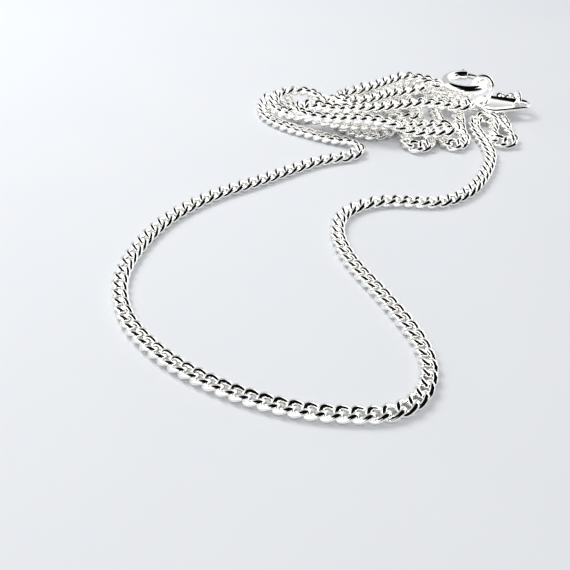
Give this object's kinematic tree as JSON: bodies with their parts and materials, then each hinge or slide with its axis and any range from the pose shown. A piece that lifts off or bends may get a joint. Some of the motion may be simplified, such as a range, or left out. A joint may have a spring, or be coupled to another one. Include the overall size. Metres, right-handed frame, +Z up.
{
  "type": "curb chain necklace",
  "caption": "Fine twisted curb chain necklace with a spring ring clasp and a leaf-shaped tab, lying in a folded heap with one open loop in front.",
  "frame": {"origin": "centre of the lying necklace's bounding box, on the table under it", "axes": "+X to the viewer's right, +Y away from the viewer towards the heap, +Z up from the table"},
  "size_m": [0.0472, 0.0592, 0.0051],
  "materials": {
    "chain_silver": "polished",
    "clasp_silver": "mirror polished",
    "bolt_steel": "smooth"
  },
  "bodies": {
    "necklace": {"chain_front": "chain_silver", "chain_heap": "chain_silver", "clasp_ring": "clasp_silver", "jump_ring_clasp": "clasp_silver", "chain_tab": "clasp_silver", "jump_ring_tab": "clasp_silver", "jump_ring_start": "clasp_silver"},
    "bolt": {"clasp_bolt": "bolt_steel"}
  },
  "joints": [
    {"name": "clasp_trigger", "type": "hinge", "parent": "necklace", "child": "bolt", "pos_m": [0.01526, 0.02509, 0.00372], "axis": [0, 0, 1], "range_deg": [0, 44], "stiffness_Nm_per_rad": 0.0001}
  ]
}
